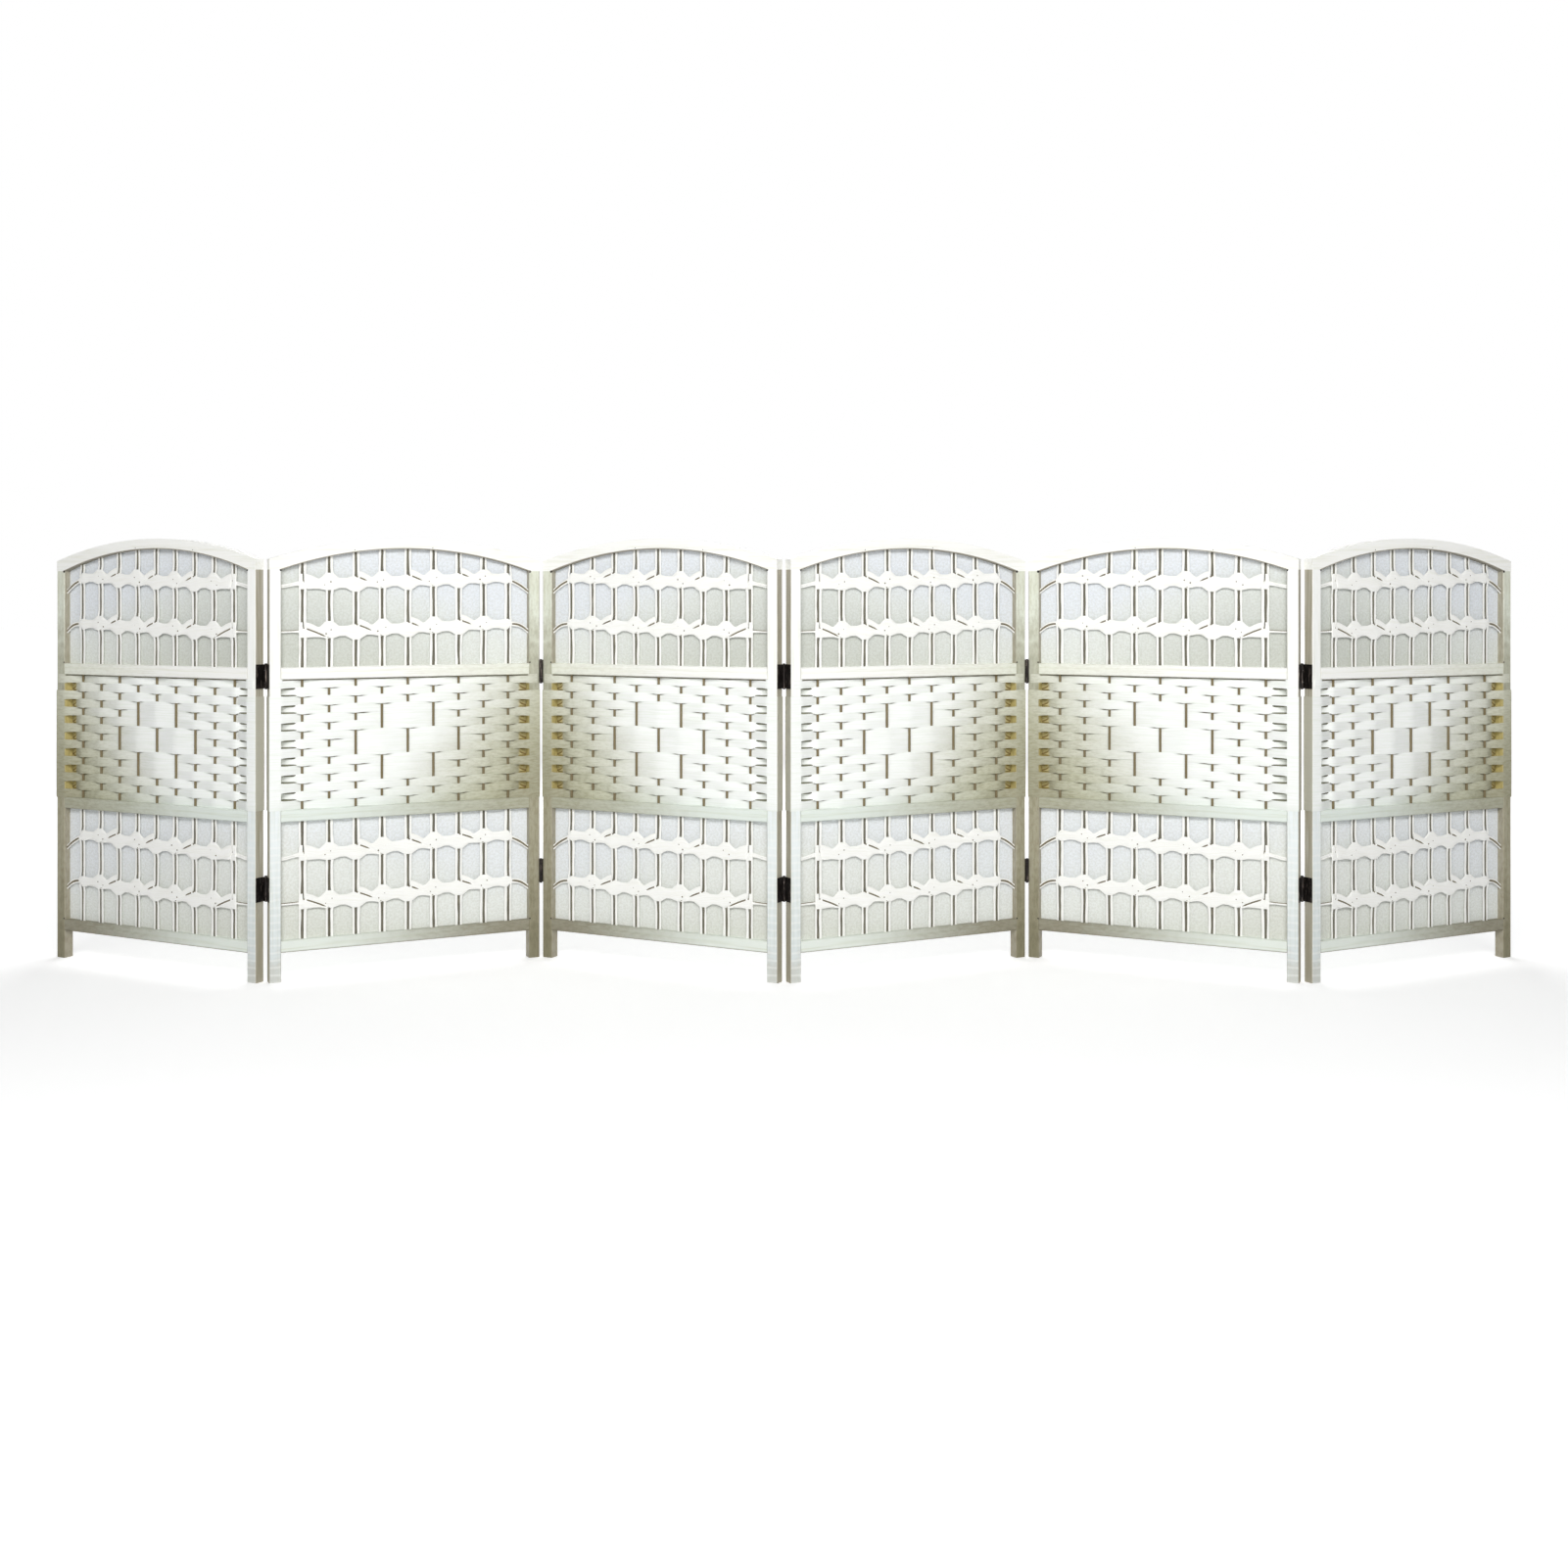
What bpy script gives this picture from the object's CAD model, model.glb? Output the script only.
import math

import bpy
import numpy as np
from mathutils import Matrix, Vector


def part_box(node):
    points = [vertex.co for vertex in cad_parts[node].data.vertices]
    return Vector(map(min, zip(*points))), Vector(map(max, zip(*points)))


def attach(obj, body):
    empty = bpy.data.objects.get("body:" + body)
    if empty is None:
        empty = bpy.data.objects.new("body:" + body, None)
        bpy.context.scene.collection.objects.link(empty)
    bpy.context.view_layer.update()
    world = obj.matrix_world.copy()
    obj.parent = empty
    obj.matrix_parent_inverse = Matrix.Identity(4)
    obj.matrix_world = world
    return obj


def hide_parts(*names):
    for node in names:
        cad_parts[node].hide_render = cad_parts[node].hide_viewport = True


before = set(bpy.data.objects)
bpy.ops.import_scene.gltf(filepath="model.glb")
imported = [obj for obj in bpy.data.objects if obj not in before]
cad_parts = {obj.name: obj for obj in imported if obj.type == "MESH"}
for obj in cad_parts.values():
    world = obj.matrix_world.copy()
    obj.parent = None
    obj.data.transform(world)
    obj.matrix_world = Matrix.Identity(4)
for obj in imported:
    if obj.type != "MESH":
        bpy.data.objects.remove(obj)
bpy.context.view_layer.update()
print("frame loaded")

# The standing frame, in metres: each panel is turned from the line of the screen, and every second
# one is its neighbour's mirror image
screen = {
    "panels": 6,
    "turn": math.radians(27),
    "width": 0.508,
    "post": 0.021,
    "rail": 0.021,
    "floorGap": 0.053,
    "lowerNet": 0.214,
    "weave": 0.236,
    "upperNet": 0.177,
    "crown": 0.040,
    "rods": 9,
    "rodPitch": 0.0485,
    "rodDiameter": 0.0045,
}
panels = range(1, screen["panels"] + 1)
lastRod = screen["rods"]
midRod = (lastRod + 1) / 2
rods = np.arange(1, lastRod + 1)
halfWidth = screen["width"] / 2
inner = halfWidth - screen["post"]
lowerNetZ = screen["floorGap"] + screen["rail"]
lowerMidZ = lowerNetZ + screen["lowerNet"]
weaveZ = lowerMidZ + screen["rail"]
upperMidZ = weaveZ + screen["weave"]
upperNetZ = upperMidZ + screen["rail"]
postTop = upperNetZ + screen["upperNet"]
crownZ = postTop + screen["crown"]
archRadius = (inner**2 + screen["crown"] ** 2) / (2 * screen["crown"])


def rodX(c):
    # place of rod c across the panel, with the middle rod at 0
    return (c - midRod) * screen["rodPitch"]


def archZ(x):
    # height of the top rail's underside: a circle through the post tops that rises to the crown
    return crownZ - archRadius + np.sqrt(archRadius**2 - np.square(x))


def lowerTop(x):
    # height of the lower middle rail's underside
    return lowerMidZ + 0 * x


openings = (("lower", lowerNetZ, lowerTop), ("upper", upperNetZ, archZ))


def panelMiddle(k):
    # where a panel's middle stands in the room, halfway between its posts
    low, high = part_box(f"posts_{k}")
    return (low.x + high.x) / 2


def sideBySide(*values):
    # an array whose last axis holds these values
    return np.stack(np.broadcast_arrays(*values), -1)


def toRoom(k, x, depth, z):
    # a panel's own across, depth and height, turned about its middle and mirrored on even panels
    c, s = math.cos(screen["turn"]), math.sin(screen["turn"])
    side = 1 if k % 2 else -1
    across = side * (x * c + depth * s) + panelMiddle(k)
    return sideBySide(across, depth * c - x * s, z)


def gridQuads(rows, cols):
    # quads between neighbouring rows of a grid whose columns close on themselves
    i, j = np.meshgrid(np.arange(rows - 1), np.arange(cols), indexing="ij")
    after = (j + 1) % cols
    quads = [i * cols + j, i * cols + after, (i + 1) * cols + after, (i + 1) * cols + j]
    return np.stack(quads, -1).reshape(-1, 4)


def strip(centre, across, out, half, thick, relief=0.0, columns=5, seed=0.0):
    # a flat closed strip: at each station along its centre line a ring runs over the front from
    # one edge to the other and back over the rear, half a thickness out and less at the edges;
    # relief moves both surfaces. Across, out and the half width are one for all stations or for each.
    count = len(centre)
    across, out = (np.broadcast_to(way, centre.shape) for way in (across, out))
    h = np.linspace(-1, 1, columns)
    ringH = np.concatenate([h, h[::-1]])
    ringOut = np.concatenate([np.ones(columns), -np.ones(columns)]) * thick / 2
    ringOut[[0, columns - 1, columns, -1]] *= 0.55
    relief = np.broadcast_to(relief, (count, columns))
    lift = np.concatenate([relief, relief[:, ::-1]], 1) + ringOut
    half = np.broadcast_to(half, count)
    points = centre[:, None] + across[:, None] * (ringH * half[:, None])[..., None]
    points = points + out[:, None] * lift[..., None]
    ring = 2 * columns
    j = np.arange(columns - 1)
    cap = np.stack([j, j + 1, ring - 2 - j, ring - 1 - j], -1)
    quads = [gridQuads(count, ring), cap, cap[:, ::-1] + (count - 1) * ring]
    along = np.concatenate([[0], np.cumsum(np.linalg.norm(np.diff(centre, axis=0), axis=1))])
    uv = sideBySide(along[:, None], ringH * half[:, None])
    return points.reshape(-1, 3), np.concatenate(quads), uv.reshape(-1, 2) + [seed, 0.0]


def facingOut(points, quads):
    # quads turned round where the closed shape that they bound has a negative volume
    a, b, c, d = (points[quads[:, i]] for i in range(4))
    volume = (a * (np.cross(b, c) + np.cross(c, d))).sum()
    return quads if volume > 0 else quads[:, ::-1]


def addObject(name, data):
    # a new object at the origin of the scene
    made = bpy.data.objects.new(name, data)
    bpy.context.scene.collection.objects.link(made)
    return made


def addPiece(name, k, parts, material, replaces=()):
    # joins closed parts, given in a panel's own places, into one object at the origin; a third
    # column beside the UVs becomes the attribute tucked
    placed, faces, maps, start = [], [], [], 0
    for points, quads, uv in parts:
        points = toRoom(k, *points.T)
        placed.append(points)
        faces.append(facingOut(points - points.mean(0), quads) + start)
        maps.append(uv)
        start += len(points)
    points, quads, uv = np.concatenate(placed), np.concatenate(faces), np.concatenate(maps)
    mesh = bpy.data.meshes.new(name)
    mesh.vertices.add(len(points))
    mesh.vertices.foreach_set("co", points.astype(np.float32).ravel())
    mesh.loops.add(quads.size)
    mesh.loops.foreach_set("vertex_index", quads.astype(np.int32).ravel())
    mesh.polygons.add(len(quads))
    mesh.polygons.foreach_set("loop_start", np.arange(0, quads.size, 4, dtype=np.int32))
    mesh.update(calc_edges=True)
    layer = mesh.uv_layers.new(name="UVMap")
    layer.uv.foreach_set("vector", uv[quads.ravel(), :2].astype(np.float32).ravel())
    if uv.shape[1] == 3:
        tucked = mesh.attributes.new("tucked", "FLOAT", "POINT")
        tucked.data.foreach_set("value", uv[:, 2].astype(np.float32))
    mesh.polygons.foreach_set("use_smooth", np.ones(len(quads), bool))
    mesh.set_sharp_from_angle(angle=math.radians(50))
    mesh.materials.append(material)
    piece = addObject(name, mesh)
    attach(piece, f"panel_{k}")
    if replaces:
        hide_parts(*replaces)
    return piece


def waver(at, rng, length, size):
    # a smooth random line: four sine waves of random length and phase about the given length
    waves = rng.uniform(0.6, 1.9, 4) * 2 * np.pi / length
    phases = rng.uniform(0, 2 * np.pi, 4)
    return size * np.sin(np.multiply.outer(at, waves) + phases).sum(-1) / 2


def smooth(t):
    # 0 up to 0, 1 from 1 on, and a cubic between them that is level at both ends
    t = np.clip(t, 0, 1)
    return t * t * (3 - 2 * t)


upward, forward = (0.0, 0.0, 1.0), (0.0, -1.0, 0.0)


def outwards(path):
    # level unit directions to the right of a path that is seen from above
    along = np.gradient(path[:, :2], axis=0)
    along /= np.linalg.norm(along, axis=1, keepdims=True)
    return sideBySide(along[:, 1], -along[:, 0], 0)


class Value:
    # a socket of a shader tree; +, -, *, / and ** add Math nodes, and node adds any other
    def __init__(self, tree, socket=None):
        self.tree = tree
        self.socket = socket

    def node(self, kind, settings, inputs, output=0):
        # an output of a new node, whose inputs are values or plain numbers
        made = self.tree.nodes.new("ShaderNode" + kind)
        for name, value in settings.items():
            setattr(made, name, value)
        for name, value in inputs.items():
            if isinstance(value, Value):
                self.tree.links.new(value.socket, made.inputs[name])
            else:
                made.inputs[name].default_value = value
        return Value(self.tree, made.outputs[output])

    def math(self, operation, *values):
        return self.node("Math", {"operation": operation}, dict(enumerate(values)))

    def __add__(self, other):
        return self.math("ADD", self, other)

    def __sub__(self, other):
        return self.math("SUBTRACT", self, other)

    def __rsub__(self, other):
        return self.math("SUBTRACT", other, self)

    def __mul__(self, other):
        return self.math("MULTIPLY", self, other)

    def __truediv__(self, other):
        return self.math("DIVIDE", self, other)

    def __pow__(self, other):
        return self.math("POWER", self, other)

    __radd__ = __add__
    __rmul__ = __mul__

    def ease(self, low, high):
        # 0 below low, 1 above high and smooth between them
        settings = {"interpolation_type": "SMOOTHSTEP"}
        return self.node("MapRange", settings, {0: self, 1: low, 2: high})

    def size(self):
        # the number without its sign
        return self.math("ABSOLUTE", self)

    def wave(self):
        # the sine of the number
        return self.math("SINE", self)

    def blend(self, kind, first, second):
        # the colour sockets of a Mix node are its inputs 6 and 7 and its output 2
        settings = {"data_type": "RGBA", "blend_type": kind}
        return self.node("Mix", settings, {0: self, 6: first, 7: second}, 2)

    def mix(self, first, second):
        # the first colour where this value is 0, the second where it is 1
        return self.blend("MIX", first, second)

    def ramp(self, stops):
        # a colour that runs through the stops, each a place from 0 to 1 and a colour's three numbers
        made = self.node("ValToRGB", {}, {0: self})
        elements = made.socket.node.color_ramp.elements
        for i, (place, *colour) in enumerate(stops):
            element = elements[i] if i < 2 else elements.new(place)
            element.position = place
            element.color = rgb(*colour)
        return made

    def scaled(self, scale):
        # a place stretched along each axis
        return self.node("VectorMath", {"operation": "MULTIPLY"}, {0: self, 1: scale})

    def darkened(self, colour, tint):
        # the colour multiplied by the tint where this value is 1
        return self.blend("MULTIPLY", colour, tint)

    def noise(self, detail=2.0, rough=0.5):
        # cloudy numbers about 0.5 at this place
        inputs = {"Vector": self, "Scale": 1.0, "Detail": detail, "Roughness": rough}
        return self.node("TexNoise", {}, inputs)

    def parts(self):
        # the three numbers of a place
        split = self.node("SeparateXYZ", {}, {0: self})
        return [Value(self.tree, out) for out in split.socket.node.outputs]


def rgb(red, green, blue):
    # a colour as a screen shows it, from 0 to 255, made linear
    def linear(c):
        return c / 12.92 if c <= 0.04045 else ((c + 0.055) / 1.055) ** 2.4

    return tuple(linear(c / 255) for c in (red, green, blue)) + (1.0,)


def newMaterial(name, roughness, metallic=0.0):
    # a material, its tree and its shader
    material = bpy.data.materials.new(name)
    material.use_nodes = True
    shader = material.node_tree.nodes["Principled BSDF"]
    shader.inputs["Roughness"].default_value = roughness
    shader.inputs["Metallic"].default_value = metallic
    return material, Value(material.node_tree), shader


def wire(shader, **sources):
    # joins values to the shader's sockets, which are named without their spaces
    for socket in shader.inputs:
        source = sources.get(socket.name.replace(" ", ""))
        if source is not None:
            source.tree.links.new(source.socket, socket)


def bump(height, strength, distance):
    # a normal tilted by the slope of a height
    inputs = {"Height": height, "Strength": strength, "Distance": distance}
    return height.node("Bump", {}, inputs)


def objectPlace(tree):
    # where a point is in its object, which stands at the origin
    return tree.node("TexCoord", {}, {}, "Object")


def flatPlace(tree):
    # along and across a strip, in its own UV map
    return tree.node("TexCoord", {}, {}, "UV")


def specks(place):
    # fine dark patches, 1 inside them
    return place.noise(3.0, 0.7).ease(0.40, 0.66)


def foldLine(over, inward, rise, width):
    # 1 on a line that slants over a strip and meets its middle some way inside the post
    slant = over - (inward - paper["foldStart"]) * rise
    return 1 - slant.size().ease(*width)


def panelPlace(tree, k):
    # a panel's own across, depth and height from the object's coordinates
    side = 1 if k % 2 else -1
    shift = -side * panelMiddle(k)
    turn = screen["turn"]
    inputs = {
        "Vector": objectPlace(tree),
        "Location": (shift * math.cos(turn), shift * math.sin(turn), 0.0),
        "Rotation": (0.0, 0.0, turn),
        "Scale": (side, 1.0, 1.0),
    }
    return tree.node("Mapping", {"vector_type": "POINT"}, inputs)


# colours at shares of the height, on the side away from a viewer and on the side near one
paint = {
    "upright": {
        "far": (
            (0.06, 132, 127, 102), (0.24, 162, 157, 134), (0.43, 168, 164, 141),
            (0.66, 174, 174, 154), (0.77, 196, 197, 179), (0.85, 226, 230, 216),
            (0.95, 224, 227, 211),
        ),
        "near": (
            (0.01, 205, 207, 201), (0.09, 219, 226, 225), (0.24, 233, 239, 238),
            (0.44, 240, 246, 246), (0.58, 252, 253, 250),
        ),
    },
    "level": {
        "far": (
            (0.06, 144, 140, 122), (0.30, 158, 154, 134), (0.38, 176, 176, 156),
            (0.70, 229, 232, 216), (0.93, 254, 254, 250),
        ),
        "near": (
            (0.06, 230, 236, 228), (0.38, 228, 236, 229), (0.70, 253, 253, 249),
        ),
    },
    "side": rgb(172, 166, 148),
    "pocketFar": rgb(206, 190, 120),
    "pocketNear": rgb(206, 208, 190),
    "crest": rgb(252, 252, 250),
    "underside": rgb(122, 112, 90),
    "speckle": rgb(208, 202, 190),
    "worn": rgb(240, 240, 231),
    "grain": (9.0, 240.0, 240.0),
    "fibre": (60.0, 1400.0, 1400.0),
    "spread": (70.0, 210.0, 210.0),
    "ripple": 0.0135,
    "rippleTop": 0.36,
    "archFoot": 0.70,
}


def paintMaterial(k, upright):
    # cream paint brushed over grained wood: its tone runs up the ramps for the far and the near side
    # and from one to the other across the panel. Posts are rippled near the floor, bare on their
    # sides and gold inside the band; rails have a dark lower edge.
    material, tree, shader = newMaterial(f"paint {k} {'upright' if upright else 'level'}", 0.5)
    place = panelPlace(tree, k)
    across, _, height = place.parts()
    order = -1 if upright else 1
    grain = place.scaled(paint["grain"][::order]).noise(4.0, 0.6)
    fibre = place.scaled(paint["fibre"][::order]).noise(2.0, 0.5)
    speckle = specks(place.scaled(paint["spread"][::order]))
    blotch = place.scaled((38, 38, 38)).noise(3.0, 0.55)
    tones = paint["upright" if upright else "level"]
    share = (height + (blotch - 0.5) * (0.22 if upright else 0.0)) / crownZ
    nearness = across + (blotch - 0.5) * 0.08
    if not upright:
        nearness = nearness + share.ease(0.45, 0.70) * 0.1
    colour = nearness.ease(-0.22, 0.19)
    colour = colour.mix(share.ramp(tones["far"]), share.ramp(tones["near"]))
    if upright:
        turns = height * (2 * math.pi / paint["ripple"]) + blotch * 3
        low = 1 - height.ease(paint["rippleTop"] - 0.14, paint["rippleTop"])
        ripple = turns.wave().ease(0.2, 1.0) * low
        colour = (ripple * across.ease(0.1, 0.24) * 0.3).mix(colour, paint["crest"])
        reach = across.size()
        outer = reach.ease(halfWidth - 0.0012, halfWidth - 0.0004)
        inside = 1 - reach.ease(inner + 0.0001, inner + 0.0007)
        bare = (outer + inside) * (0.5 + grain * 0.9)
        colour = bare.mix(colour, paint["side"])
        band = height.ease(lowerMidZ - 0.001, lowerMidZ + 0.001)
        band = band * (1 - height.ease(upperMidZ - 0.001, upperMidZ + 0.001))
        pocket = across.ease(-0.1, 0.1).mix(paint["pocketFar"], paint["pocketNear"])
        colour = (inside * band * 0.85).mix(colour, pocket)
    else:
        away = (across**2 + (height - (crownZ - archRadius)) ** 2) ** 0.5
        under = 1 - away.ease(archRadius + 0.0008, archRadius + 0.0022)
        under = under * height.ease(paint["archFoot"], paint["archFoot"] + 0.02)
        foot = 1 - height.ease(screen["floorGap"] + 0.0008, screen["floorGap"] + 0.0030)
        colour = (under * 0.85 + foot * 0.6).mix(colour, paint["underside"])
    speckle = speckle * (1 - share.ease(0.45, 0.95) * (0.3 if upright else 1.0))
    speckle = speckle * (1 - across.ease(-0.20, 0.16)) * 0.5
    worn = speckle.darkened(colour, paint["speckle"])
    worn = (grain.ease(0.44, 0.74) * 0.8).darkened(worn, paint["worn"])
    relief = grain * 0.6 + fibre * 0.25 + blotch * 0.5
    rough = 0.42 + grain * 0.16 + blotch * 0.1
    wire(shader, BaseColor=worn, Roughness=rough, Normal=bump(relief, 0.3, 0.0005))
    return material


wood = {"band": rgb(122, 106, 70), "ring": rgb(150, 142, 120)}


def rodMaterial(name, light, dark):
    # thin brown wood with pale rings, greyer behind the nets than in the woven band
    material, tree, shader = newMaterial(name, 0.7)
    place = objectPlace(tree)
    grain = place.scaled((900, 900, 24)).noise(3.0, 0.6)
    ring = place.scaled((30, 30, 60)).noise(2.0, 0.5)
    height = place.parts()[2]
    band = height.ease(lowerMidZ, weaveZ) * (1 - height.ease(upperMidZ, upperNetZ))
    colour = grain.ease(0.35, 0.68).mix(light, dark)
    colour = (band * 0.7).mix(colour, wood["band"])
    colour = (ring.ease(0.58, 0.78) * 0.35).mix(colour, wood["ring"])
    wire(shader, BaseColor=colour, Roughness=0.6 + grain * 0.2, Normal=bump(grain, 0.4, 0.0004))
    return material


# tones of the ribbons; distances are from a ribbon's middle or inwards from the post
paper = {
    "light": rgb(250, 252, 250),
    "dark": rgb(241, 245, 238),
    "foot": rgb(224, 232, 225),
    "aged": rgb(190, 190, 166),
    "agedLow": rgb(163, 160, 136),
    "speckle": rgb(208, 204, 188),
    "shade": rgb(98, 93, 72),
    "gold": rgb(216, 202, 140),
    "fold": rgb(112, 88, 38),
    "end": rgb(180, 177, 160),
    "shadeEdge": (0.0045, 0.0060),
    "turnedIn": (0.011, 0.019),
    "foldStart": 0.012,
    "foldRise": 0.36,
    "foldWidth": (0.0006, 0.0028),
}


def paperMaterial(name, k, light, dark, streaks):
    # flattened paper cord, creased along its length. The ribbons of panel k are greyer at the foot
    # of the band, aged and speckled towards the far post, shaded at the edge that tucks under a
    # neighbour, gold with a dark fold inside the far post, and dull round the outside of the posts.
    material, tree, shader = newMaterial(name, 0.75)
    flat = flatPlace(tree)
    crease = flat.scaled((12, streaks, 1)).noise(3.0, 0.6)
    fibre = flat.scaled((160, streaks * 3.2, 1)).noise(2.0, 0.6)
    colour = crease.ease(0.3, 0.6).mix(dark, light)
    if k:
        across, depth, height = panelPlace(tree, k).parts()
        over = flat.parts()[1]
        patch = flat.scaled((3, 3, 1)).noise(1.0, 0.5)
        place = across + (height - (weaveZ + upperMidZ) / 2) * 0.7 + (patch - 0.5) * 0.1
        aged = 1 - place.ease(-0.27, 0.02)
        foot = 1 - (height + across * 0.1).ease(lowerMidZ + 0.01, lowerMidZ + 0.07)
        colour = (foot * 0.7).mix(colour, paper["foot"])
        dim = (1 - height.ease(lowerMidZ, upperMidZ)) * (1 - across.ease(-0.235, -0.15))
        colour = aged.mix(colour, dim.mix(paper["aged"], paper["agedLow"]))
        speckle = specks(flat.scaled((75, 260, 1)))
        colour = (speckle * aged * 0.55).darkened(colour, paper["speckle"])
        tucked = tree.node("Attribute", {"attribute_name": "tucked"}, {}, 2)
        shade = tucked * over.ease(*paper["shadeEdge"]) * (0.8 + patch * 0.4)
        colour = shade.mix(colour, paper["shade"])
        inward = across + inner
        turned = (1 - inward.ease(*paper["turnedIn"])) * depth.ease(0.0, 0.004)
        colour = (turned * 0.8).mix(colour, paper["gold"])
        fold = foldLine(over, inward, paper["foldRise"], paper["foldWidth"])
        colour = (turned * fold * 0.85).mix(colour, paper["fold"])
        outer = across.size().ease(halfWidth - 0.0001, halfWidth + 0.0005)
        colour = (outer * 0.9).mix(colour, paper["end"])
    relief = crease * 0.8 + fibre * 0.35
    wire(shader, BaseColor=colour, Roughness=0.66 + fibre * 0.2, Normal=bump(relief, 0.4, 0.0004))
    return material


# the ribbons' tucked ends; half is the half width at each reach inwards from the post, tip first
tail = {
    "gold": (rgb(134, 114, 56), rgb(186, 166, 98)),
    "grey": (rgb(112, 112, 92), rgb(146, 146, 126)),
    "darkGold": rgb(104, 82, 34),
    "darkGrey": rgb(96, 94, 76),
    "foldRise": 0.32,
    "foldWidth": (0.0007, 0.0026),
    "deep": (0.015, 0.024),
    "reach": (0.0295, 0.0225, 0.0),
    "half": (0.0066, 0.0092, 0.0108),
    "root": 0.004,
    "rodSide": 0.0045,
    "back": 0.0013,
    "drop": 0.0004,
}


def tailMaterial(k):
    # creased paper, gold by the far post and grey by the near one, dark on a slanting fold and
    # deep inside
    material, tree, shader = newMaterial(f"tail paper {k}", 0.8)
    flat = flatPlace(tree)
    across = panelPlace(tree, k).parts()[0]
    crease = flat.scaled((12, 420, 1)).noise(3.0, 0.6)
    lit, near = crease.ease(0.35, 0.62), across.ease(-0.1, 0.1)
    colour = near.mix(lit.mix(*tail["gold"]), lit.mix(*tail["grey"]))
    inward = inner - across.size()
    fold = foldLine(flat.parts()[1], inward, tail["foldRise"], tail["foldWidth"])
    fold = fold * 0.85 + inward.ease(*tail["deep"]) * 0.5
    dark = near.mix(tail["darkGold"], tail["darkGrey"])
    colour = fold.math("MINIMUM", fold, 0.9).mix(colour, dark)
    wire(shader, BaseColor=colour, Normal=bump(crease, 0.4, 0.0004))
    return material


fabric = {
    "foot": rgb(213, 216, 204),
    "middle": rgb(233, 237, 232),
    "top": rgb(235, 240, 246),
    "slub": rgb(240, 240, 238),
    "lower": rgb(244, 246, 243),
    "shade": rgb(200, 204, 198),
    "fleck": rgb(236, 235, 230),
    "thread": 0.0011,
}


def clothMaterial():
    # thin plain weave with slubs and flecks, warm grey at the foot of a net and blue-grey at its
    # head; the lower cloths are lighter, and the upper ones are shaded at the foot of the near side
    material, tree, shader = newMaterial("liner cloth", 0.9)
    flat = flatPlace(tree)
    x, rise, _ = flat.parts()
    threads = 2 * math.pi / fabric["thread"]
    weave = (rise * threads).wave() * (x * threads).wave()
    slub = flat.scaled((30, 700, 1)).noise(2.0, 0.6) + flat.scaled((700, 30, 1)).noise(2.0, 0.6)
    mottle = flat.scaled((55, 38, 1)).noise(3.0, 0.6)
    fleck = flat.scaled((230, 230, 1)).noise(3.0, 0.75).ease(0.4, 0.6)
    tone = rise + x * -0.30 + mottle * 0.05
    upper = objectPlace(tree).parts()[2].ease(upperMidZ, upperNetZ)
    shade = upper * x.ease(-0.2, 0.2) * (1 - tone.ease(0.05, 0.2)) * 0.55
    colour = tone.ease(-0.03, 0.10).mix(fabric["foot"], fabric["middle"])
    colour = tone.ease(0.10, 0.20).mix(colour, fabric["top"])
    colour = ((slub - 0.8).ease(0.0, 0.5) * 0.25).mix(colour, fabric["slub"])
    colour = ((1 - upper) * 0.3).mix(colour, fabric["lower"])
    colour = shade.mix(colour, fabric["shade"])
    colour = (fleck * 0.6).darkened(colour, fabric["fleck"])
    relief = weave * 0.5 + slub * 0.5
    wire(shader, BaseColor=colour, Normal=bump(relief, 0.25, 0.0003))
    return material


def metalMaterial(name, base, worn, roughness):
    # dark bronze lacquer, rubbed through in streaks
    material, tree, shader = newMaterial(name, roughness, 0.75)
    place = objectPlace(tree)
    streak = place.scaled((420, 420, 60)).noise(4.0, 0.65)
    speck = place.scaled((900, 900, 900)).noise(2.0, 0.5)
    rubbed = streak.ease(0.54, 0.7)
    rough = roughness + streak * 0.25 - rubbed * 0.1
    normal = bump(streak * 0.6 + speck * 0.4, 0.25, 0.0003)
    wire(shader, BaseColor=rubbed.mix(base, worn), Roughness=rough, Normal=normal)
    return material


rodWood = rodMaterial("rod wood", rgb(116, 112, 96), rgb(86, 82, 68))
strandWood = rodMaterial("strand", rgb(122, 112, 88), rgb(94, 85, 64))
light, dark = paper["light"], paper["dark"]
ribbonPapers = [paperMaterial(f"ribbon paper {k}", k, light, dark, 420.0) for k in panels]
cordPaper = paperMaterial("cord paper", 0, rgb(254, 254, 251), rgb(247, 247, 240), 700.0)
linerCloth = clothMaterial()
hingeMetal = metalMaterial("hinge lacquer", rgb(34, 30, 28), rgb(132, 120, 112), 0.38)
screwMetal = metalMaterial("screw lacquer", rgb(40, 36, 34), rgb(120, 112, 104), 0.32)
pinMetal = metalMaterial("pin lacquer", rgb(44, 40, 38), rgb(150, 144, 138), 0.3)
finishes = {
    "rods": rodWood,
    "hinge_leaves": hingeMetal,
    "hinge_screws": screwMetal,
    "hinge_pins": pinMetal,
}
for k in panels:
    upright, level = paintMaterial(k, True), paintMaterial(k, False)
    painted = {"posts": upright, "top_rail": level, "cross_rails": level}
    for part, material in (painted | finishes).items():
        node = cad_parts.get(f"{part}_{k}")
        if node:
            node.data.materials.clear()
            node.data.materials.append(material)
print("finishes made")

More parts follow.
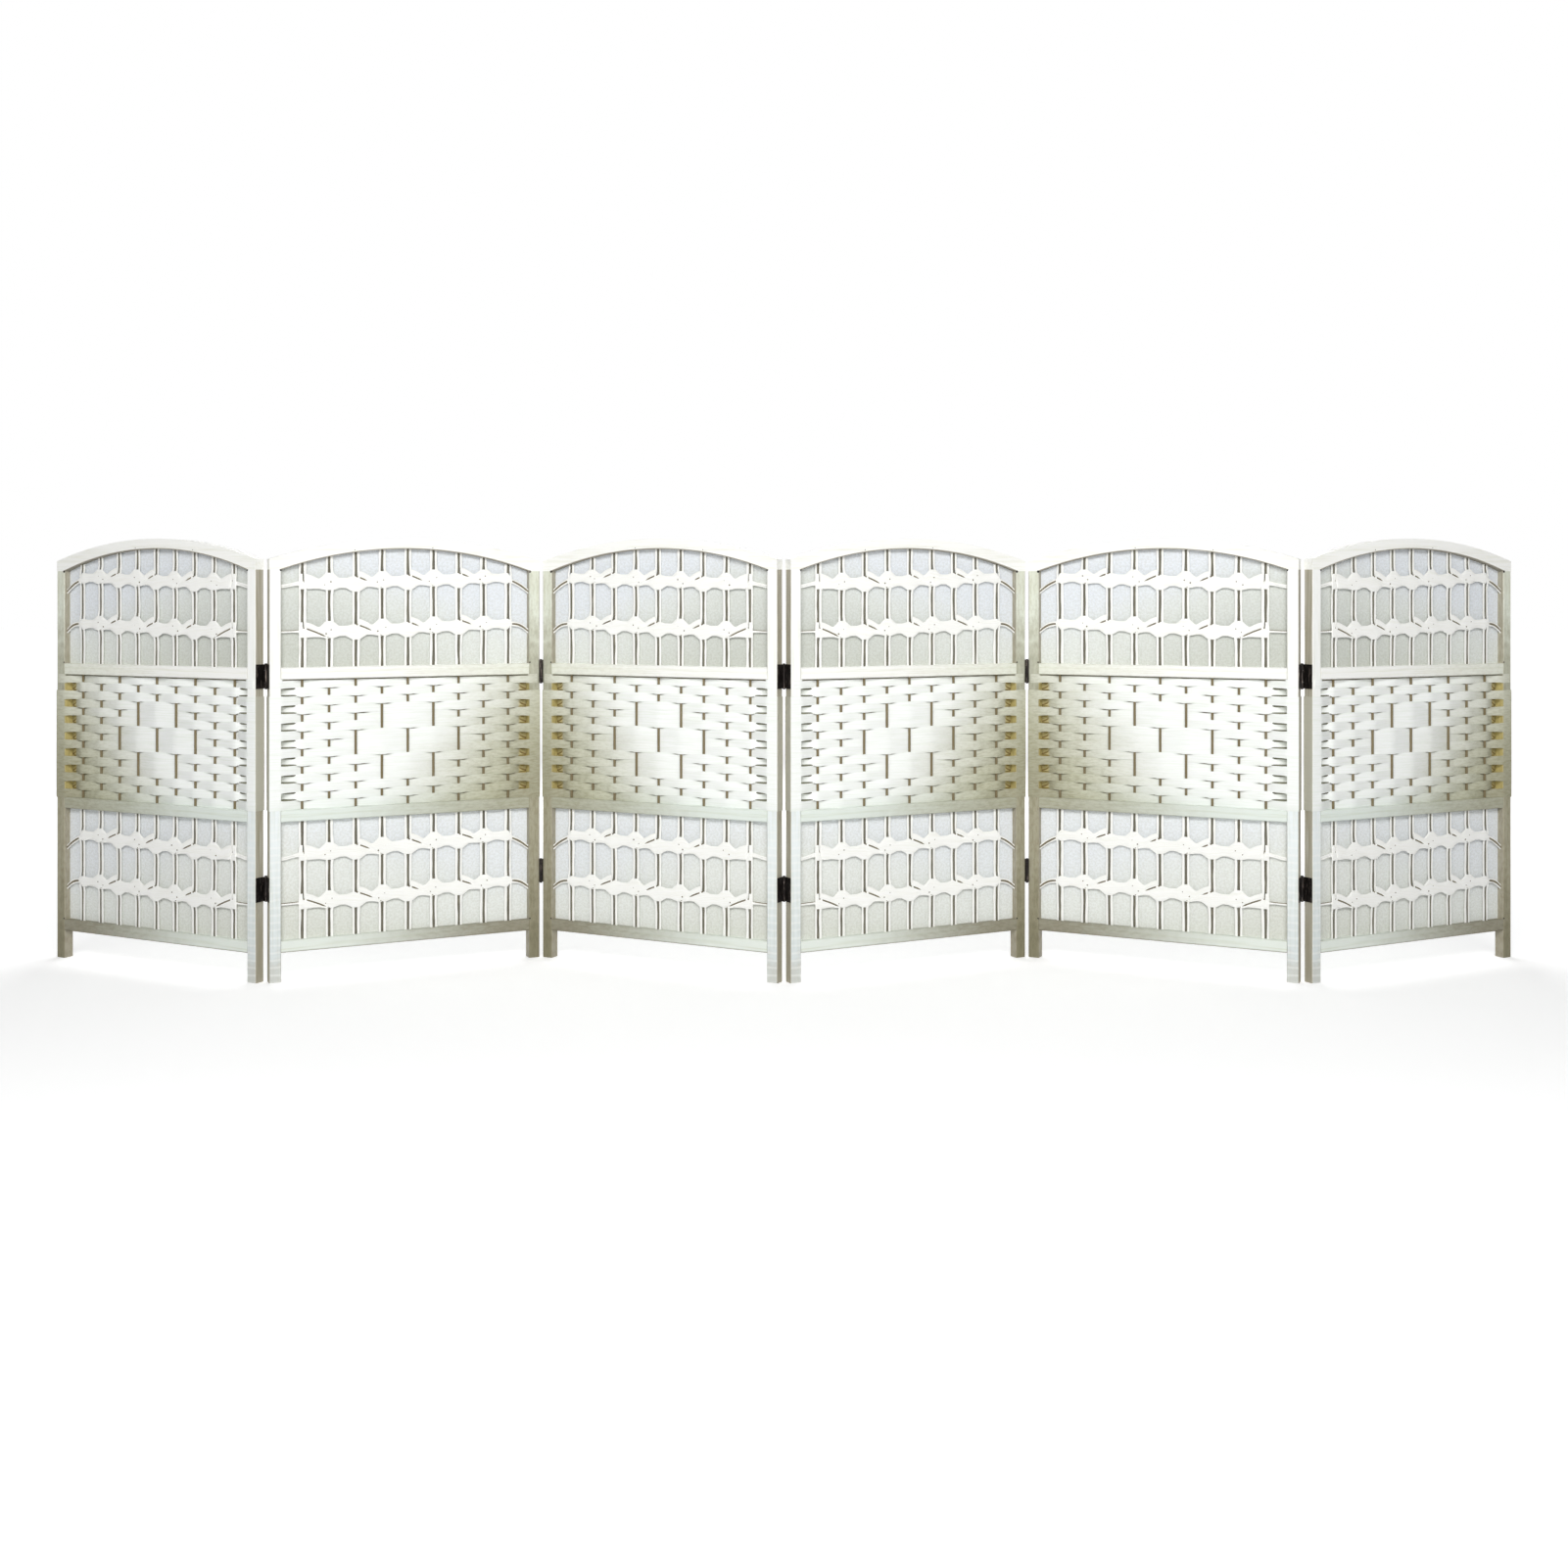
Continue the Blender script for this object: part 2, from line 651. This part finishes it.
ribbon = {
    "rows": 15,
    "thick": 0.0009,
    "lap": 0.0005,
    "overRod": 0.009,
    "hook": 0.0203,
    "rodClear": 0.0003,
    "postClear": 0.0002,
    "hingeRelief": 0.005,
    "blockRows": 3,
    "bulge": 0.0008,
    "creaseDepth": 0.0001,
    "curl": 0.00045,
    "tilt": 0.00028,
    "waverSize": 0.00014,
    "shadeShift": 0.004,
    "pinch": {
        -1: {"share": 0.40, "lean": 0.0010, "start": 0.019, "run": 0.010},
        1: {"share": 0.44, "lean": 0.0007, "start": 0.005, "run": 0.011},
    },
    "step": 0.0034,
    "turnStep": math.radians(15),
    "columns": 8,
    "cuts": (0.006, 0.002),
    "postReach": 0.012,
    "rodReach": 0.005,
    "flatten": 0.004,
}
ribbonPitch = screen["weave"] / ribbon["rows"]
ribbonHalf = (ribbonPitch + ribbon["lap"]) / 2
rodPass = screen["rodDiameter"] / 2 + ribbon["rodClear"] + ribbon["thick"] / 2
postPass = screen["post"] / 2 + ribbon["postClear"] + ribbon["thick"] / 2
wrapX = halfWidth + ribbon["postClear"] + ribbon["thick"] / 2
hinge = {"heights": (0.167, 0.5505), "length": 0.044, "margin": 0.0026}


def ribbonZ(r):
    # height of the middle of a row, counted from the top
    return upperMidZ - (r - 0.5) * ribbonPitch


def sideOf(r, c):
    # 1 where a ribbon runs behind a rod or post and -1 where it runs in front: plain weave, with
    # every third row near the middle shifted by one, which makes the diamond of four blocks
    r, c = np.broadcast_arrays(r, c)
    fromRow, fromRod = np.abs(r - (ribbon["rows"] + 1) / 2), np.abs(c - midRod)
    diamond = (fromRow == ribbon["blockRows"]) & (fromRod <= 1)
    diamond |= (fromRow == 0) & (fromRod <= 2)
    return np.where(((r + c) % 2 == 0) != diamond, 1.0, -1.0)


def roundedPath(points, cut, samples=7):
    # a path whose corners are replaced by parabolas that leave it at the distance cut
    before, after = points[:-2] - points[1:-1], points[2:] - points[1:-1]
    lengths = [np.linalg.norm(d, axis=1, keepdims=True) for d in (before, after)]
    reach = np.minimum(cut, 0.45 * np.minimum(*lengths))
    first = points[1:-1] + before / lengths[0] * reach
    last = points[1:-1] + after / lengths[1] * reach
    w = np.linspace(0, 1, samples)[None, :, None]
    curve = (1 - w) ** 2 * first[:, None] + w**2 * last[:, None]
    curve += 2 * w * (1 - w) * points[1:-1, None]
    return np.concatenate([points[:1], curve.reshape(-1, points.shape[1]), points[-1:]])


def headings(steps):
    # the direction of each step of a path, in radians without jumps
    return np.unwrap(np.arctan2(steps[:, 1], steps[:, 0]))


def respaced(path):
    # stations along a path, closer together where it turns
    d = np.diff(path, axis=0)
    length = np.linalg.norm(d, axis=1)
    d, length = d[length > 1e-9], length[length > 1e-9]
    path = np.concatenate([path[:1], path[:1] + np.cumsum(d, axis=0)])
    heading = headings(d)
    turn = np.abs(np.diff(heading, prepend=heading[0]))
    measure = np.concatenate([[0], np.cumsum(length / ribbon["step"] + turn / ribbon["turnStep"])])
    at = np.linspace(0, measure[-1], int(measure[-1]) + 2)
    return sideBySide(*(np.interp(at, measure, column) for column in path.T))


def ribbonEnd(r, side):
    # from a ribbon's end to the inner edge of the near post; rows at a hinge stop on the post
    reach = (hinge["length"] + ribbonPitch) / 2 + hinge["margin"]
    if min(abs(ribbonZ(r) - z) for z in hinge["heights"]) < reach:
        end = [[halfWidth - ribbon["hingeRelief"], side * postPass]]
    else:
        end = [
            [halfWidth - ribbon["hook"], -side * postPass],
            [wrapX, -side * postPass],
            [wrapX, side * postPass],
        ]
    return np.array(end + [[inner, side * postPass]])


def ribbonPath(r):
    # the ribbon seen from above: over or under each rod, and round both posts
    flats = rodX(rods)[:, None] + np.array([-0.5, 0.5]) * ribbon["overRod"]
    sides = np.repeat(sideOf(r, rods), 2) * rodPass
    left = ribbonEnd(r, sideOf(r, 0)) * [-1, 1]
    right = ribbonEnd(r, sideOf(r, lastRod + 1))[::-1]
    path = np.concatenate([left, sideBySide(flats.ravel(), sides), right])
    sharp = np.abs(np.diff(headings(np.diff(path, axis=0)))) > 1
    cut = np.where(sharp, ribbon["cuts"][1], ribbon["cuts"][0])[:, None]
    return respaced(roundedPath(path, cut))


def crossing(r, x):
    # how surely a ribbon's upper and lower neighbours are on the other side of the rods, and
    # whether it is itself behind: each is steady beside a rod or post and runs evenly between them
    columns = np.arange(lastRod + 2)
    postX = inner + screen["post"] / 2
    places = np.concatenate([[-postX], rodX(rods), [postX]])
    reach = np.where(np.abs(places) < inner, ribbon["rodReach"], ribbon["postReach"])
    at = sideBySide(places - reach, places + reach).ravel()
    own, above, below = (
        np.interp(x, at, np.repeat(sideOf(row, columns), 2)) for row in (r, r - 1, r + 1)
    )
    up = np.clip(-own * above, 0, 1) ** 2 * (r > 1)
    down = np.clip(-own * below, 0, 1) ** 2 * (r < ribbon["rows"])
    return up, down, np.clip(own, 0, 1)


def pinchAt(r, path):
    # how much a ribbon that passes behind the posts is drawn in beside them, and how far it leans
    x, behind = path[:, 0], path[:, 1] > -rodPass - 0.001
    share = lean = 0 * x
    if sideOf(r, 0) > 0:
        for end, pinch in ribbon["pinch"].items():
            near = smooth((end * x - rodX(lastRod) - pinch["start"]) / pinch["run"])
            near = near * (1 - smooth((end * x - inner) / 0.006)) * behind
            share = share + pinch["share"] * near
            lean = lean + pinch["lean"] * (near - 4 * near * (1 - near)) * (near > 0)
    return share, lean


def ribbonParts(k):
    # each ribbon of a panel: its edges waver, and bulge where it passes its neighbours; its face has
    # rounded creases, curls away from the rods and tilts; and it is marked as tucked where it runs
    # behind a rod under the ribbon above
    parts = []
    h = np.linspace(-1, 1, ribbon["columns"])
    size = ribbon["waverSize"]
    for r in range(1, ribbon["rows"] + 1):
        rng = np.random.default_rng(1000 * k + r)
        path = ribbonPath(r)
        along = np.cumsum(np.linalg.norm(np.diff(path, axis=0, prepend=path[:1]), axis=1))
        up, down, _ = crossing(r, path[:, 0])
        up = up * ribbon["bulge"] + waver(along, rng, 0.06, size)
        down = down * ribbon["bulge"] + waver(along, rng, 0.06, size)
        above, _, behind = crossing(r, path[:, 0] + ribbon["shadeShift"])
        flat = 1 - smooth((np.abs(path[:, 0]) - inner) / ribbon["flatten"] + 1)
        tucked = np.clip(1.5 * np.sqrt(above) * behind, 0, 1) if r > 1 else 1.0
        tucked = tucked * flat
        share, lean = pinchAt(r, path)
        middle = ribbonZ(r) + (up - down) / 2 - lean
        centre = sideBySide(*path.T, middle)
        phase = waver(along, rng, 0.12, 1.3)[:, None]
        crease = np.sin(9.2 * h + rng.uniform(0, 6.3) + phase)
        crease = crease + 0.7 * np.sin(15.1 * h + rng.uniform(0, 6.3) - 1.6 * phase)
        relief = crease * ribbon["creaseDepth"] * (0.55 + 0.45 * np.sin(37 * along + r))[:, None]
        side = np.clip(path[:, 1] / rodPass, -1, 1)[:, None]
        relief = relief + side * ribbon["curl"] * h**2 - ribbon["tilt"] * h
        relief = relief * (0.15 + 0.85 * flat[:, None])
        half = (ribbonHalf + (up + down) / 2) * (1 - share)
        form = (outwards(path), half, ribbon["thick"], relief, len(h), r + k)
        points, quads, uv = strip(centre, upward, *form)
        uv = np.column_stack([uv, np.repeat(tucked, 2 * len(h))])
        parts.append((points, quads, uv))
    return parts


def tailParts():
    # the free ends of the ribbons that pass behind the posts: turned in, they run forward from the
    # post to the next rod and narrow towards the tip
    parts = []
    reach = np.linspace(inner + tail["root"], inner - tail["reach"][0], 12)
    t = np.clip((inner - reach) / (inner - rodX(lastRod) - tail["rodSide"]), 0, 1)
    depth = postPass - (postPass + rodPass) * t + tail["back"]
    half = np.interp(reach, inner - np.array(tail["reach"]), tail["half"])
    for r in range(1, ribbon["rows"] + 1):
        if sideOf(r, 0) < 0:
            continue
        z = ribbonZ(r) - tail["drop"]
        for end in (-1, 1):
            centre = sideBySide(end * reach, depth, z)
            form = (outwards(centre), half, ribbon["thick"], 0.0, 5, r)
            parts.append(strip(centre, upward, *form))
    return parts


tails = tailParts()
for k in panels:
    addPiece(f"ribbon_tails_{k}", k, tails, tailMaterial(k))
    addPiece(f"ribbons_{k}", k, ribbonParts(k), ribbonPapers[k - 1], [f"weave_{k}"])
print("woven band made")

net = {
    "leftWidth": (0.0034, 0.0050),
    "rightWidth": (0.0048, 0.0036),
    "cordGap": 0.0047,
    "cordThick": 0.0011,
    "cordDepth": 0.00135,
    "underKnot": 0.0029,
    "rows": (0.070, 0.158),
    "fall": 0.014,
    "belt": 0.0185,
    "tip": {1: {"odd": 0.0020, "even": 0.0100}, -1: {"odd": 0.0080, "even": 0.0034}},
    "leafEnd": 0.0095,
    "skew": 0.3,
    "knotDepth": 0.0036,
    "knotThick": 0.0010,
    "dome": 0.0011,
    "slit": 0.0028,
    "overlap": 0.0010,
    "strandWidth": 0.0034,
    "lastSlit": 0.0085,
    "tieFoot": (-0.016, -0.028),
    "tieHead": (-0.001, -0.007),
    "tieBow": (0.28, 0.10),
    "tieWidth": 0.0028,
    "tieEnd": 0.0065,
    "tieDepth": 0.0033,
    "neck": 0.0046,
    "nearTies": (
        ((0.0020, 0.0014, 0.0028),),
        ((0.0032, -0.0026, 0.0032), (-0.0002, -0.0060, 0.0026)),
    ),
    "strandDepth": (0.0027, 0.0039),
    "roundedEnd": 0.0040,
    "eyes": ((-0.0035, 0.0040), (0.0075, -0.0035)),
    "dotSize": 0.0013,
}
cordsHalf = net["cordGap"] / 2 + 0.0042


def rowZ(base, place):
    # height of a row of knots, which falls from the first rod to the last
    return base + net["fall"] * (midRod - place) / (lastRod - 1)


def grown(c):
    # the knots are smaller beside the far post
    return smooth((np.asarray(c) - 0.8) / 2.4)


def beltHalf(c):
    # half the height of the belt that a row of knots makes
    return net["belt"] / 2 * (0.8 + 0.2 * grown(c))


def cornerZ(base, c, side):
    # height of a knot's upper (1) or lower (-1) end at a rod; the last knot has no tips
    tip = np.where(np.asarray(c) % 2 == 1, net["tip"][side]["odd"], net["tip"][side]["even"])
    tip = tip * (0.6 + 0.4 * grown(c)) * (np.asarray(c) < lastRod)
    return rowZ(base, c) + side * (beltHalf(c) + tip)


def knotEdge(base, x, side):
    # upper (1) or lower (-1) edge of a row of knots: from a corner at each cord it slants to a flat
    # end in the middle of the mesh; above, every second end is narrow and off the middle, and the
    # slant beside it climbs past the head of the odd rod's knot
    c = np.clip(np.searchsorted(rodX(rods), x), 1, lastRod - 1)
    left, right = rodX(c) + cordsHalf, rodX(c + 1) - cordsHalf
    t = np.clip((x - (left + right) / 2) / (right - left) * 2, -1, 1)
    pointed = (c % 2 == 0) & (side > 0)
    t = t + np.where(pointed, net["skew"] * (1 - t**2), 0.0)
    after = cornerZ(base, c + 1, side) + np.where(pointed, net["leafEnd"], 0.0)
    corner = np.where(t < 0, cornerZ(base, c, side), after)
    middle = rowZ(base, c + 0.5) + side * beltHalf(c + 0.5)
    flat = np.where(pointed, 0.1, 0.42 if side > 0 else 0.3)
    slope = (np.abs(t) - flat) / (1 - flat)
    rise = (slope + np.sqrt(slope**2 + 0.008)) / 2
    return middle + (corner - middle) * rise


def slitEnds(base, odd, row):
    # where a slit starts and ends: from the foot of the knot at an even rod to the head at the next
    # odd one, from the far post to the first knot, and short and steep at the end of an upper row
    if odd == 1:
        foot = (-inner - 0.001, rowZ(base, 1) + net["tieFoot"][row])
        return foot, (rodX(1) - net["tieEnd"], rowZ(base, 1) + net["tieHead"][row])
    head = (rodX(odd), cornerZ(base, odd, 1))
    if odd == lastRod and row == 1:
        foot = rodX(odd) - net["lastSlit"]
        return (foot, rowZ(base, odd) - beltHalf(odd) - 0.001), head
    return (rodX(odd - 1), cornerZ(base, odd - 1, -1)), head


def slitLine(base, odd, row, x):
    # the height of a slit, which bows upwards, and the share of its run
    foot, head = slitEnds(base, odd, row)
    t = (x - foot[0]) / (head[0] - foot[0])
    bow = net["tieBow"][row] if odd == 1 else 0.06
    inside = np.clip(t, 0, 1)
    return foot[1] + (head[1] - foot[1]) * (t + bow * np.sin(np.pi * inside)), inside


def slitHalf(t, start):
    # half the width of a slit: a hook at its foot, and open from the share start of its run
    opened = np.maximum(smooth((t - start) / 0.22), 0.8 * (1 - smooth((t - 0.1) / 0.1)))
    return (net["slit"] + net["overlap"]) / 2 * opened - net["overlap"] / 2


def flatStrip(x, z, half, depth, thick, seed, relief=0.0, columns=5, across=None):
    # a strip that lies in the plane of the net, depth in front of the middle of the rods
    centre = sideBySide(x, -np.asarray(depth), z)
    if across is None:
        tangent = np.gradient(centre, axis=0)
        tangent[:, 1] = 0
        tangent /= np.linalg.norm(tangent, axis=1, keepdims=True)
        across = sideBySide(-tangent[:, 2], 0, tangent[:, 0])
    return strip(centre, across, forward, half, thick, relief, columns, seed)


def button(x, z, depth, radius, height):
    # a round lens, worked out as a strip whose half width follows a circle
    t = np.sin(np.linspace(-0.5, 0.5, 7) * np.pi)
    half = radius * np.sqrt(1.02 - t**2)
    h = np.linspace(-1, 1, 5)
    relief = height * np.clip(1 - t[:, None] ** 2 - (h**2) * (1 - t[:, None] ** 2), 0, 1)
    return flatStrip(x + radius * t, z, half, depth, height * 0.8, 0.0, relief, 5, upward)


def cordParts(base, top, rng):
    # two flat cords beside each rod, from the rail below to the rail above; they lie against the
    # rod and come forward where a knot ties them
    parts = []
    h = np.linspace(-1, 1, 5)
    relief = net["cordThick"] * (0.35 - 0.35 * h**2 + 0.12 * np.cos(7 * h))
    for c in rods:
        tops, feet = (cornerZ(base + np.array(net["rows"]), c, side) for side in (1, -1))
        share = (c - 1) / (lastRod - 1)
        for q, widths in ((-1, net["leftWidth"]), (1, net["rightWidth"])):
            width = widths[0] + (widths[1] - widths[0]) * share
            x0 = rodX(c) + q * (net["cordGap"] + width) / 2
            z = np.linspace(base - 0.0005, top(rodX(c)) + 0.0005, 44)
            off = np.maximum(z[:, None] - tops, feet - z[:, None]).min(1)
            lift = 1 - smooth(off / 0.012 + 0.25)
            x = x0 + waver(z, rng, 0.11, 0.00028) + q * 0.0007 * lift
            half = width / 2 + waver(z, rng, 0.05, 0.00018)
            depth = net["cordDepth"] + (net["underKnot"] - net["cordDepth"]) * lift
            form = (depth, net["cordThick"], rng.uniform(0, 9), relief)
            parts.append(flatStrip(x, z, half, *form))
    return parts


def knotParts(base, row, starts, rng):
    # a row of knots: slanting leaves, each from an even rod over the next two to an odd rod
    # upwards, bounded by the row's edges and by the slits between leaves
    parts = []
    for odd in range(1, lastRod + 1, 2):
        first, last = odd == 1, odd == lastRod
        leftEnd = rodX(1) - net["tieEnd"] - 0.001 if first else slitEnds(base, odd, row)[0][0]
        rightEnd = rodX(odd) + cordsHalf + 0.001 if last else rodX(odd + 2) - net["cordGap"] / 2
        x = np.linspace(leftEnd + 0.0005, rightEnd - 0.0005, 64)
        upper, lower = knotEdge(base, x, 1), knotEdge(base, x, -1)
        slit, t = slitLine(base, odd, row, x)
        if first:
            share = smooth((rodX(1) + 0.004 - x) / 0.011)
            upper = upper + (slit + net["neck"] - upper) * share
            lower = lower + (slit - net["neck"] - lower) * share
        else:
            slit = slit - slitHalf(t, starts[odd])
            upper = np.where(x < rodX(odd), np.minimum(slit, upper), upper)
        if not last:
            rising, t = slitLine(base, odd + 2, row, x)
            begun = x > slitEnds(base, odd + 2, row)[0][0]
            rising = rising + slitHalf(t, starts[odd + 2])
            lower = np.where(begun, np.maximum(rising, lower), lower)
        upper = np.maximum(upper, lower + 0.0010)
        middle, half = (upper + lower) / 2, (upper - lower) / 2
        if last:
            t = np.clip((x[-1] - x) / net["roundedEnd"], 0, 1)
            half = half * (0.35 + 0.65 * np.sqrt(1 - (1 - t) ** 2))
        h = np.linspace(-1, 1, 9)
        phase = waver(x, rng, 0.1, 1.0)[:, None]
        size = np.clip(half * 100, 0, 1)[:, None]
        fold = np.sin(7.5 * h + phase + rng.uniform(0, 6)) + 0.6 * np.sin(13 * h - phase)
        relief = net["dome"] * np.sqrt(np.clip(1.02 - h**2, 0, 1)) * size + 0.00016 * fold
        form = (net["knotDepth"], net["knotThick"], rng.uniform(0, 9), relief, 9, upward)
        parts.append(flatStrip(x, middle, half, *form))
    return parts


def tieParts(base, row, rng):
    # the cords from the first and the last knot to the posts: two along the brown strand on the far
    # side, and on the near side a band in the upper row and a thin cord in the lower one
    parts = []
    x = np.linspace(-inner - 0.0005, rodX(1) - net["tieEnd"] + 0.002, 16)
    apart = (net["strandWidth"] + net["tieWidth"]) / 2 - 0.0002
    relief = 0.0004 * (1 - np.linspace(-1, 1, 5) ** 2)
    for q in (-1, 1):
        z = slitLine(base, 1, row, x)[0] + q * apart
        half = net["tieWidth"] / 2 + waver(x, rng, 0.04, 0.0002)
        parts.append(flatStrip(x, z, half, net["tieDepth"], 0.001, rng.uniform(0, 9), relief))
    x = np.linspace(rodX(lastRod) + 0.0022, inner + 0.0005, 16)
    t = smooth((x - x[0]) / (x[-1] - x[0]))
    for first, last, width in net["nearTies"][row]:
        z = rowZ(base, lastRod) + first + (last - first) * t
        half = width / 2 * (1.5 - 0.5 * smooth(3 * t)) + waver(x, rng, 0.04, 0.00015)
        parts.append(flatStrip(x, z, half, net["tieDepth"], 0.001, rng.uniform(0, 9)))
    return parts


def strandParts(base, row, rng):
    # the brown strand that shows in each slit and tie, and the small eyes of the even knots
    parts = []
    for odd in range(1, lastRod + 1, 2):
        depth = net["strandDepth"][odd == 1]
        foot, head = slitEnds(base, odd, row)
        x = np.linspace(foot[0] + (0.0005 if odd == 1 else 0.0015), head[0], 18)
        z, t = slitLine(base, odd, row, x)
        half = net["strandWidth"] / 2 * (0.5 + 0.5 * np.sin(np.pi * np.clip(t, 0.04, 0.96)) ** 0.5)
        parts.append(flatStrip(x, z, half, depth, 0.0012, odd))
    if row == 0:
        x = np.linspace(rodX(lastRod) + 0.006, inner + 0.0005, 12)
        z = rowZ(base, lastRod) + 0.0040 - 0.0008 * smooth((x - x[0]) / 0.03)
        parts.append(flatStrip(x, z, 0.0008, 0.0031, 0.001, 3.0))
    front = net["knotDepth"] + net["dome"] + 0.0003
    for even in range(2, lastRod, 2):
        for dx, dz in net["eyes"]:
            x, z = rodX(even) + dx + rng.normal(0, 0.0012), rowZ(base, even) + dz
            size = net["dotSize"] * rng.uniform(0.7, 1.15)
            parts.append(button(x, z + rng.normal(0, 0.001), front, size, 0.0003))
    return parts


for k in panels:
    rng = np.random.default_rng(70 + k)
    cords, knots, strands = [], [], []
    for _, base, top in openings:
        cords += cordParts(base, top, rng)
        for row, rise in enumerate(net["rows"]):
            starts = {odd: rng.uniform(0.25, 0.55) for odd in range(3, lastRod + 1, 2)}
            starts[lastRod] = 0.05
            knots += knotParts(base + rise, row, starts, rng) + tieParts(base + rise, row, rng)
            strands += strandParts(base + rise, row, rng)
    addPiece(f"net_cords_{k}", k, cords, cordPaper, [f"nets_{k}"])
    addPiece(f"net_knots_{k}", k, knots, cordPaper)
    addPiece(f"net_strands_{k}", k, strands, strandWood)
print("nets made")

# small nails in the corners of the frame and in the top rail
brad = {"large": 0.0023, "small": 0.0015, "pin": 0.0008, "inset": 0.0012, "rods": (4, 7)}
bradX = inner + brad["inset"]
spots = [
    (-bradX, postTop - 0.001, "large"),
    (bradX, postTop - 0.001, "small"),
    (-bradX, lowerNetZ + 0.002, "small"),
    (-bradX, upperNetZ + 0.002, "small"),
]
spots += [(rodX(c) + 0.004, archZ(rodX(c)) + 0.004, "pin") for c in brad["rods"]]
face = screen["post"] / 2 + 0.0002
heads = [button(x, z, face, brad[size], brad[size] * 0.3) for x, z, size in spots]
for k in panels:
    addPiece(f"brads_{k}", k, heads, screwMetal)
print("brads made")

liner = {"thick": 0.0008, "clear": 0.0003, "depth": 0.00295, "slack": 0.00035, "columns": 40}


def linerPart(base, top, rng):
    # a stretched sheet: stations run across it, and each ring runs up its front and down its back
    reach = inner - liner["clear"]
    x = np.linspace(-reach, reach, 90)
    low, high = base + liner["clear"], top(x) - liner["clear"]
    rise = np.linspace(-1, 1, liner["columns"])
    pull = waver(x, rng, 0.16, liner["slack"])[:, None] * (1 - rise**2)
    pull = pull + waver(x, rng, 0.05, liner["slack"] * 0.3)[:, None] * (1 - rise**4)
    middle, half = (low + high) / 2, (high - low) / 2
    centre = sideBySide(x, liner["depth"], middle)
    form = (half, liner["thick"], pull, liner["columns"])
    points, quads, _ = strip(centre, upward, forward, *form)
    uv = sideBySide(points[:, 0], points[:, 2] - base)
    area = float(np.sum((high - low)[1:] + (high - low)[:-1]) / 2 * (x[1] - x[0]))
    return (points, quads, uv), (2 * reach, float((high - low).max())), area


for k in panels:
    rng = np.random.default_rng(300 + k)
    for level, base, top in openings:
        part, flat, area = linerPart(base, top, rng)
        name = f"liner_{level}_{k}"
        cloth = addPiece(name, k, [part], linerCloth, [f"liners_{k}"])
        min(area, flat[0] * flat[1])
print("liners made")

view = {
    "back": 3.25,
    "height": 0.70,
    "lens": 40.0,
    "sensor": 36.0,
    "horizon": 606.0,
    "size": 1601.0,
    "aim": (0.0, 0.0, 0.45),
}
camera = addObject("camera", bpy.data.cameras.new("camera"))
camera.data.lens = view["lens"]
camera.data.sensor_width = view["sensor"]
camera.data.shift_y = (view["horizon"] - view["size"] / 2) / view["size"]
camera.location = (0.0, -view["back"], view["height"])
camera.rotation_euler = (math.radians(90), 0.0, 0.0)
bpy.context.scene.camera = camera


def areaLight(name, place, size, power, colour):
    # a soft rectangular lamp that looks from its place to the middle of the screen
    lamp = bpy.data.lights.new(name, "AREA")
    lamp.shape = "RECTANGLE"
    lamp.size, lamp.size_y = size
    lamp.energy = power
    lamp.color = colour
    holder = addObject(name, lamp)
    holder.location = place
    x, y, z = np.subtract(view["aim"], place)
    yaw, pitch = math.atan2(x, y), math.atan2(z, math.hypot(x, y))
    holder.rotation_euler = (math.radians(90) + pitch, 0.0, -yaw)


areaLight("key", (0.0, -3.2, 2.2), (3.2, 0.9), 92, (1.0, 0.995, 0.985))
areaLight("front", (0.0, -4.4, 1.0), (2.6, 1.0), 36, (1.0, 1.0, 1.0))
areaLight("rear", (0.0, 3.0, 2.0), (3.6, 1.2), 90, (1.0, 1.0, 1.0))


def seenRays(tree):
    # 1 for rays from the camera and for those that gloss and glass send on
    kinds = ("Is Camera Ray", "Is Glossy Ray", "Is Transmission Ray")
    sight, gloss, glass = (tree.node("LightPath", {}, {}, kind) for kind in kinds)
    return sight.math("MAXIMUM", sight, gloss.math("MAXIMUM", gloss, glass))


world = bpy.data.worlds.new("world")
world.use_nodes = True
bpy.context.scene.world = world
sky = seenRays(Value(world.node_tree)).mix((0.15, 0.154, 0.16, 1.0), (1.0, 1.0, 1.0, 1.0))
world.node_tree.links.new(sky.socket, world.node_tree.nodes["Background"].inputs["Color"])

floorMaterial = bpy.data.materials.new("floor")
floorMaterial.use_nodes = True
tree = Value(floorMaterial.node_tree)
lit = tree.node("BsdfDiffuse", {}, {"Color": (0.8, 0.8, 0.8, 1.0)})
place = objectPlace(tree).scaled((1.0, 1.0, 0.0))
away = place.node("VectorMath", {"operation": "LENGTH"}, {0: place}, 1)
strength = seenRays(tree) * (0.4 + 0.6 * away.ease(0.3, 7.0))
glow = tree.node("Emission", {}, {"Strength": strength})
both = tree.node("AddShader", {}, {0: lit, 1: glow})
surface = floorMaterial.node_tree.nodes["Material Output"].inputs["Surface"]
floorMaterial.node_tree.links.new(both.socket, surface)
floorMesh = bpy.data.meshes.new("floor")
reach = 30.0
corners = [(-reach, -reach, 0), (reach, -reach, 0), (reach, reach, 0), (-reach, reach, 0)]
floorMesh.from_pydata(corners, [], [(0, 1, 2, 3)])
floorMesh.materials.append(floorMaterial)
addObject("floor", floorMesh)
bpy.context.scene.view_settings.view_transform = "Standard"
print("camera, lights and floor set")
